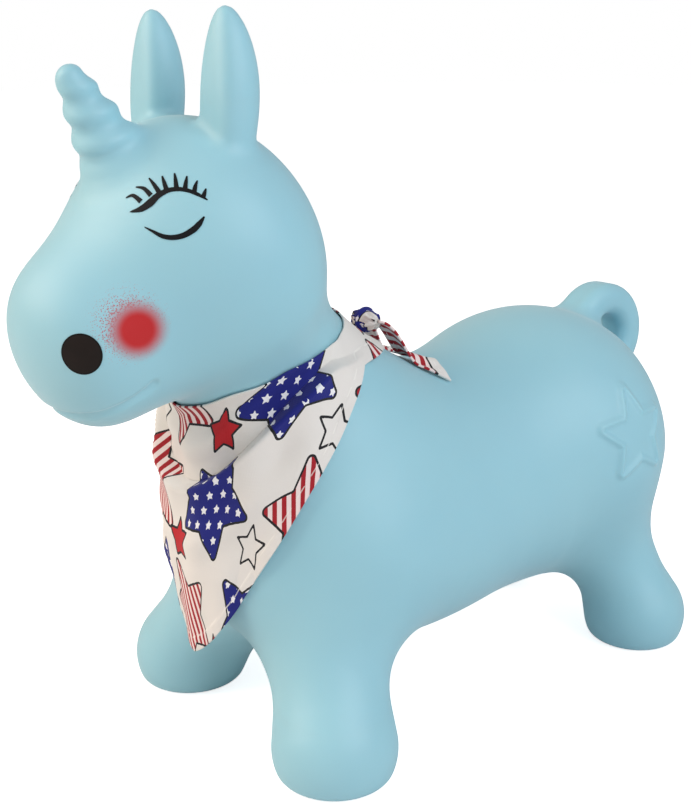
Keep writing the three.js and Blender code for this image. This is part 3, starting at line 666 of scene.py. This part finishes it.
# The tuck under the chin rises from the chest to the sides, with two softer folds along it.
TUCK_CHEST = 190
TUCK_SIDE = 272
TUCK_OUT = 13
TUCK_BELOW = 24
TUCK_ABOVE = 3.5
SOFT_FOLDS = ((27, 9, 4), (-36, 12, 3.2))
WAVE = 1.5


def smoothstep(x, a, b):
    t = np.clip((x - a) / (b - a), 0, 1)
    return t * t * (3 - 2 * t)


def bib_edges(a):
    far = np.minimum(np.pi / 2, LOW_SPREAD * np.abs(a))
    rise = (1 - LOW_POINT) * np.sin(far) ** 2 + LOW_POINT * far / (np.pi / 2)
    upper = TOP_CHEST + (TOP_NAPE - TOP_CHEST) * np.abs(np.sin(a / 2)) ** TOP_CURVE
    return upper, LOW_CHEST + (LOW_NAPE - LOW_CHEST) * rise


ACROSS, DOWN = 520, 200
u = np.linspace(-1, 1, ACROSS + 1)
angle = (TURN * (0.62 * u + 0.38 * u ** 3))[:, None]
part = np.linspace(0, 1, DOWN + 1)[None, :]
top, low = bib_edges(angle)
height = top + (low - top) * part
way_x = np.sin(angle) + 0 * part
way_y = -np.cos(angle) + 0 * part
reach = np.full(height.shape, 190.0)
for _ in range(45):
    spot = np.stack([way_x * reach, BIB_AXIS_Y + way_y * reach, height], -1).reshape(-1, 3)
    reach -= 0.7 * (headless(spot).reshape(reach.shape) - CLEAR)
fall = SLACK * (height[:, :1] - height)
reach = np.maximum.accumulate(reach + fall, axis=1) - fall
fade = 1 - smoothstep(np.abs(angle), *FADE)
to_side = np.sin(np.minimum(np.pi / 2, np.abs(angle))) ** 2
tuck = height - TUCK_CHEST - (TUCK_SIDE - TUCK_CHEST) * to_side
below = np.exp(np.minimum(tuck, 0) / TUCK_BELOW) * (tuck <= 0)
above = (1 - smoothstep(tuck, 0, TUCK_ABOVE)) * (tuck > 0)
reach += fade * (TUCK_OUT * (below + above) + WAVE)
reach += fade * WAVE * np.sin(7 * angle + 0.6) * smoothstep(part, 0.4, 0.9)
for at, wide, high in SOFT_FOLDS:
    reach += fade * high * np.exp(-((tuck - at) / wide) ** 2)
reach += fade * (0.9 * np.sin(11 * angle + 0.03 * height) + 0.6 * np.sin(17 * angle - 0.05 * height))
spot = np.stack([way_x * reach, BIB_AXIS_Y + way_y * reach, height], -1).reshape(-1, 3)
for _ in range(5):
    inside = np.nonzero(body_and_head(spot) < CLEAR)[0]
    spot[inside] += slope(body_and_head, spot[inside]) * (CLEAR - body_and_head(spot[inside]))[:, None]
bib = spot.reshape(ACROSS + 1, DOWN + 1, 3)


def flat_place(grid, middle_row):
    """Where each point lies on the cloth when it is spread flat: millimetres across and down."""
    across = np.linalg.norm(np.diff(grid, axis=0, prepend=grid[:1]), axis=2).cumsum(0)
    down = np.linalg.norm(np.diff(grid, axis=1, prepend=grid[:, :1]), axis=2).cumsum(1)
    return across - across[middle_row], down


# The print is a plain staggered pattern of stars: navy with small white stars, red and white striped, and
# small red and outlined ones between them. Each kind is kept as a distance to its outline.
STAR_PITCH = 94
ROW_PITCH = 84
BIG_R = 40
SMALL_R = 16
SPECK_PITCH = 13
SPECK_R = 3.9
PRINT_DROP = 6
TIP_ROUND = 3
TILTS = (0.35, -0.5)
# stands for a distance where a kind of star is not printed
FAR = 50.0


def lattice(x, y, pitch, row):
    line = np.floor(y / row + 0.5).astype(int)
    shift = (x / pitch) - 0.5 * (line % 2)
    column = np.floor(shift + 0.5).astype(int)
    return (shift - column) * pitch, y - line * row, column, line


def print_on(made, x, y, edge):
    dx, dy, column, line = lattice(x, y + PRINT_DROP, STAR_PITCH, ROW_PITCH)
    tilt = np.where((column + line) % 2 == 0, *TILTS)
    turned_x = dx * np.cos(tilt) - dy * np.sin(tilt)
    turned_y = dx * np.sin(tilt) + dy * np.cos(tilt)
    big = star(turned_x, -turned_y, BIG_R - TIP_ROUND, 0.52) - TIP_ROUND
    striped = (column + line) % 2 == 0
    attribute(made, "navy_mm", np.where(striped, FAR, big).ravel())
    attribute(made, "striped_mm", np.where(striped, big, FAR).ravel())
    attribute(made, "stripe_mm", turned_x.ravel())
    sx, sy, column, line = lattice(x - STAR_PITCH / 2, y + PRINT_DROP - ROW_PITCH / 3, STAR_PITCH, ROW_PITCH)
    small = star(sx, -sy, SMALL_R, 0.5)
    red = (column + line) % 2 == 0
    attribute(made, "red_mm", np.where(red, small, FAR).ravel())
    attribute(made, "open_mm", np.where(red, FAR, small).ravel())
    px, py, column, line = lattice(x, y, SPECK_PITCH, SPECK_PITCH * 0.8)
    attribute(made, "speck_mm", star(px, -py, SPECK_R, 0.45).ravel())
    attribute(made, "edge_mm", edge.ravel())
    uv = made.data.uv_layers.new(name="flat").data
    index = np.zeros(len(made.data.loops), int)
    made.data.loops.foreach_get("vertex_index", index)
    flat = np.stack([x.ravel()[index], y.ravel()[index]], 1) * MM
    uv.foreach_set("uv", flat.astype(np.float32).ravel())


# Printed cotton: dull, with a faint fuzz at grazing angles. Ink soaks in, so colours stay matte.
cotton, shader = new_material("printed_plain_weave_cotton")
shown = {}
for key in ("navy", "striped", "red", "open", "speck", "stripe", "edge"):
    shown[key] = node(cotton, "ShaderNodeAttribute", attribute_name=f"{key}_mm").outputs["Fac"]
layer = colour("#E8E2DC")
STRIPE = 7.6
phase = node(cotton, "ShaderNodeMath", {0: shown["stripe"], 1: STRIPE}, operation="FLOORED_MODULO")
stripe = node(cotton, "ShaderNodeMath", {0: phase.outputs[0], 1: STRIPE / 2}, operation="LESS_THAN")
stripes = node(cotton, "ShaderNodeMix", {
    "Factor": stripe.outputs[0], 6: colour("#F3DEDA"), 7: colour("#A60F1F"),
}, data_type="RGBA")
speck = node(cotton, "ShaderNodeMath", {0: shown["speck"], 1: 0.0}, operation="LESS_THAN")
specks = node(cotton, "ShaderNodeMix", {
    "Factor": speck.outputs[0], 6: colour("#0C1678"), 7: colour("#F1EFF2"),
}, data_type="RGBA")
OUTLINE = 1.1
for key, fill in (
    ("navy", specks.outputs[2]), ("striped", stripes.outputs[2]), ("red", colour("#BE101D")),
    ("open", colour("#E8E2DC")),
):
    inside = node(cotton, "ShaderNodeMath", {0: shown[key], 1: OUTLINE}, operation="LESS_THAN")
    layer = node(cotton, "ShaderNodeMix", {
        "Factor": inside.outputs[0], 6: layer, 7: colour("#16151A"),
    }, data_type="RGBA").outputs[2]
    inside = node(cotton, "ShaderNodeMath", {0: shown[key], 1: -OUTLINE / 2}, operation="LESS_THAN")
    layer = node(cotton, "ShaderNodeMix", {
        "Factor": inside.outputs[0], 6: layer, 7: fill,
    }, data_type="RGBA").outputs[2]
# real threads are 0.4 mm apart; they are drawn 2.2 mm apart so that they show
# a wave texture has a band every pi / 10 of its unit, or twice that on the diagonal
THREAD = 2.2
flat = node(cotton, "ShaderNodeUVMap", uv_map="flat")
threads = node(cotton, "ShaderNodeTexWave", {
    "Vector": flat.outputs["UV"], "Scale": np.pi / 10 / (THREAD * MM),
}, wave_profile="SIN", bands_direction="X")
picks = node(cotton, "ShaderNodeTexWave", {
    "Vector": flat.outputs["UV"], "Scale": np.pi / 10 / (THREAD * MM),
}, wave_profile="SIN", bands_direction="Y")
weave = node(cotton, "ShaderNodeMath", {
    0: threads.outputs["Fac"], 1: picks.outputs["Fac"],
}, operation="MULTIPLY")
# the hem is turned under and sewn 8 mm in, and its thread shows as a thin paler line
# real stitches are 3 mm long; they are drawn 10 mm long so that they show
HEM = 8
STITCH = 10.4
seam = node(cotton, "ShaderNodeMath", {0: shown["edge"], 1: HEM, 2: 0.5}, operation="COMPARE")
gap = node(cotton, "ShaderNodeTexWave", {
    "Vector": flat.outputs["UV"], "Scale": np.pi / 5 / (STITCH * MM),
}, bands_direction="DIAGONAL")
stitch = node(cotton, "ShaderNodeMath", {0: gap.outputs["Fac"], 1: 0.35}, operation="GREATER_THAN")
sewn = node(cotton, "ShaderNodeMath", {0: seam.outputs[0], 1: stitch.outputs[0]}, operation="MULTIPLY")
half_sewn = node(cotton, "ShaderNodeMath", {0: sewn.outputs[0], 1: 0.55}, operation="MULTIPLY")
layer = node(cotton, "ShaderNodeMix", {
    "Factor": half_sewn.outputs[0], 6: layer, 7: colour("#F6F1EA"),
}, data_type="RGBA").outputs[2]
bump = node(cotton, "ShaderNodeBump", {"Height": weave.outputs[0], "Strength": 0.25, "Distance": 0.2 * MM})
cotton.node_tree.links.new(layer, shader.inputs["Base Color"])
cotton.node_tree.links.new(bump.outputs["Normal"], shader.inputs["Normal"])
shader.inputs["Roughness"].default_value = 0.85
shader.inputs["IOR"].default_value = 1.5
shader.inputs["Sheen Weight"].default_value = 0.08
shader.inputs["Sheen Roughness"].default_value = 0.5


def cloth(name, grid, outward, x, y, edge):
    """A closed cloth sheet: the given points are its inner face."""
    out = np.cross(np.gradient(grid, axis=0), np.gradient(grid, axis=1))
    out /= np.maximum(np.linalg.norm(out, axis=2), 1e-9)[..., None]
    turned = (out * outward).sum() < 0
    if turned:
        out = -out
    hem = 0.5 * (1 - smoothstep(edge, HEM, HEM + 1.5)) - 0.35 * np.exp(-((edge - HEM) / 0.9) ** 2)
    both = np.concatenate([(grid + out * (CLOTH + hem)[..., None]).reshape(-1, 3), grid.reshape(-1, 3)])
    n, m = grid.shape[:2]
    index = np.arange(n * m).reshape(n, m)
    quads = np.stack([index[:-1, :-1], index[1:, :-1], index[1:, 1:], index[:-1, 1:]], -1).reshape(-1, 4)
    loop = np.concatenate([index[:-1, 0], index[-1, :-1], index[:0:-1, -1], index[0, :0:-1]])
    after = np.roll(loop, -1)
    rim = np.stack([after, loop, loop + n * m, after + n * m], 1)
    all_faces = np.concatenate([quads, quads[:, ::-1] + n * m, rim])
    made = new_mesh(name, both, (all_faces[:, ::-1] if turned else all_faces).tolist(), None, cotton)
    print_on(made, np.stack([x, x]), np.stack([y, y]), np.stack([edge, edge]))
    return made


# spread flat, the cloth fans out from the neck, so its print is laid on a fan of this radius
FAN_R = 240
bib_across, bib_down = flat_place(bib, ACROSS // 2)
fan = bib_across[:, :1] / FAN_R
bib_x = (FAN_R + bib_down) * np.sin(fan)
bib_y = (FAN_R + bib_down) * np.cos(fan) - FAN_R
# the lower edge runs aslant, so it is nearer than the way straight down to it
EDGE_SLANT = 0.72
bib_edge = (bib_down[:, -1:] - bib_down) * EDGE_SLANT
outward = (bib - np.array([0, BIB_AXIS_Y, 0])) * np.array([1, 1, 0])
made = cloth("bandana", bib, outward, bib_x, bib_y, bib_edge)
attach(made, "body")
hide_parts("scarf_bib")

# Knot.
# The two ends of the same cloth, crossed once and pulled tight: a bunched roll with one turn round its
# middle. Its pleats run along the pull.
KNOT_AT = np.array([0, -17.002, 281.673])
KNOT_HALF = (14, 8, 8)
KNOT_TURN = (5.8, 9.3, 9.3)
KNOT_ROOM = 21
KNOT_STEP = 1.1


def knot(p):
    q = p - KNOT_AT
    round_it = np.arctan2(q[:, 2], q[:, 1])
    pleat = 0.7 * np.cos(7 * round_it + 0.12 * q[:, 0]) + 0.4 * np.cos(11 * round_it - 0.2 * q[:, 0])
    roll = egg(p, KNOT_AT, KNOT_HALF) + 0.5 - pleat * smoothstep(np.abs(q[:, 0]), 4, 7)
    turn = egg(p, KNOT_AT, KNOT_TURN) + 0.4 - 0.6 * np.cos(0.9 * q[:, 0] + 1.2 * np.sin(round_it))
    return melt(roll, turn, 1.2)


knot_points, knot_faces = wrap(knot, KNOT_AT - KNOT_ROOM, KNOT_AT + KNOT_ROOM, KNOT_STEP)
knot_points = onto(knot, knot_points)
made = new_mesh("bandana_knot", knot_points, knot_faces.tolist(), slope(knot, knot_points), cotton)
q = knot_points - KNOT_AT
print_on(made, 2 * q[:, 0] + STAR_PITCH + 8, 9 * np.arctan2(q[:, 2], q[:, 1]) - 6, np.full(len(q), FAR))
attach(made, "body")
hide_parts("scarf_knot")

# Tie ends.
# The free tails of the knot, each rolled over on itself and lying back on the withers. They can be lifted,
# so each rides its own body.
END_LONG = 44
END_WIDE = 29
END_ROOT = 8
END_SPREAD = 20
END_LIFT = 4
END_FOLD = 2.2
END_DROP = 0.55
s = np.linspace(0, 1, 91)[:, None]
t = np.linspace(0, 1, 41)[None, :]
for hand, side in (("left", 1), ("right", -1)):
    wide = END_WIDE * (0.5 + 0.5 * s)
    x = side * (END_ROOT + END_SPREAD * s + (t - 0.5) * wide)
    y = KNOT_AT[1] + END_LONG * s + 0 * t
    z = np.full(x.shape, 420.0)
    for _ in range(60):
        spot = np.stack([x, y, z], -1).reshape(-1, 3)
        z -= 0.7 * melt(trunk(spot), taper(spot, *NECK), NECK_MELT).reshape(z.shape)
    fold = END_FOLD * np.cos((t - 0.5) * 2 * np.pi) + 0.7 * np.sin(9 * s + 14 * t) * smoothstep(s, 0.1, 0.5)
    lift = KNOT_AT[2] + (z + END_LIFT + fold - KNOT_AT[2]) * smoothstep(s, 0, END_DROP)
    grid = np.stack([x, y, lift], -1)
    end_x, end_y = flat_place(grid, 0)
    across = np.minimum(np.minimum(t, 1 - t) * wide, (1 - s) * END_LONG) + 4
    made = cloth(f"bandana_end_{hand}", grid, np.array([0, 0, 1]), end_x - 28, end_y - 22, across)
    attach(made, f"scarf_end_{hand}")
    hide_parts(f"scarf_end_{hand}")

# Studio.
# A pale sweep of paper under one large, slightly warm soft box at the front left. A cooler panel at the other
# side and white walls fill the shade.
# Uncoated paper: dull white, and clouded over about 400 mm where the roll is uneven.
paper, shader = new_material("white_paper_sweep")
place = node(paper, "ShaderNodeTexCoord")
fibre = node(paper, "ShaderNodeTexNoise", {"Vector": place.outputs["Object"], "Scale": 1 / (400 * MM)})
paper_tone = node(paper, "ShaderNodeMix", {
    "Factor": fibre.outputs["Fac"], 6: colour("#E2E3E4"), 7: colour("#E8E8E8"),
}, data_type="RGBA")
paper.node_tree.links.new(paper_tone.outputs[2], shader.inputs["Base Color"])
shader.inputs["Roughness"].default_value = 0.9
# the paper burns out to white in the camera, and only the animal's own shadow shows on it
seen = node(paper, "ShaderNodeLightPath")
glow = node(paper, "ShaderNodeMapRange", {
    "Value": seen.outputs["Is Camera Ray"], "To Min": 0, "To Max": 0.8,
})
paper.node_tree.links.new(glow.outputs["Result"], shader.inputs["Emission Strength"])
shader.inputs["Emission Color"].default_value = colour("#FFFFFF")
FLOOR_HALF = 15000
corners = np.array([[-1, -1, 0], [1, -1, 0], [1, 1, 0], [-1, 1, 0]]) * FLOOR_HALF
floor = new_mesh("floor", corners - np.array([0, 0, 0.5]), [[0, 1, 2, 3]], None, paper)

world = bpy.data.worlds.new("studio")
bpy.context.scene.world = world
world.use_nodes = True
background = world.node_tree.nodes["Background"]
background.inputs["Color"].default_value = colour("#FFFFFF")
seen = node(world, "ShaderNodeLightPath")
level = node(world, "ShaderNodeMapRange", {
    "Value": seen.outputs["Is Camera Ray"], "To Min": 0.32, "To Max": 1.0,
})
world.node_tree.links.new(level.outputs["Result"], background.inputs["Strength"])

# lamps and camera are placed in metres
AIM = Vector((0.03, -0.06, 0.24))
for name, spot, wide, power, tone in (
    ("soft_box", (-0.9, -1.7, 1.4), 1.8, 41, "#FFF0E1"), ("fill", (1.8, 0.2, 1.4), 1.6, 28, "#F2F8FF"),
):
    lamp = bpy.data.lights.new(name, "AREA")
    lamp.size = wide
    lamp.energy = power
    lamp.color = colour(tone)[:3]
    stand = bpy.data.objects.new(name, lamp)
    stand.location = spot
    stand.rotation_euler = (AIM - Vector(spot)).to_track_quat("-Z", "Y").to_euler()
    bpy.context.scene.collection.objects.link(stand)

lens = bpy.data.cameras.new("camera")
lens.lens = 55.3
lens.sensor_width = 36
camera = bpy.data.objects.new("camera", lens)
camera.location = (0.6646, -0.5668, 0.464)
look = Vector((0.0338, -0.0624, 0.2362)) - camera.location
camera.rotation_euler = look.to_track_quat("-Z", "Y").to_euler()
bpy.context.scene.collection.objects.link(camera)
bpy.context.scene.camera = camera
bpy.context.scene.view_settings.view_transform = "Standard"
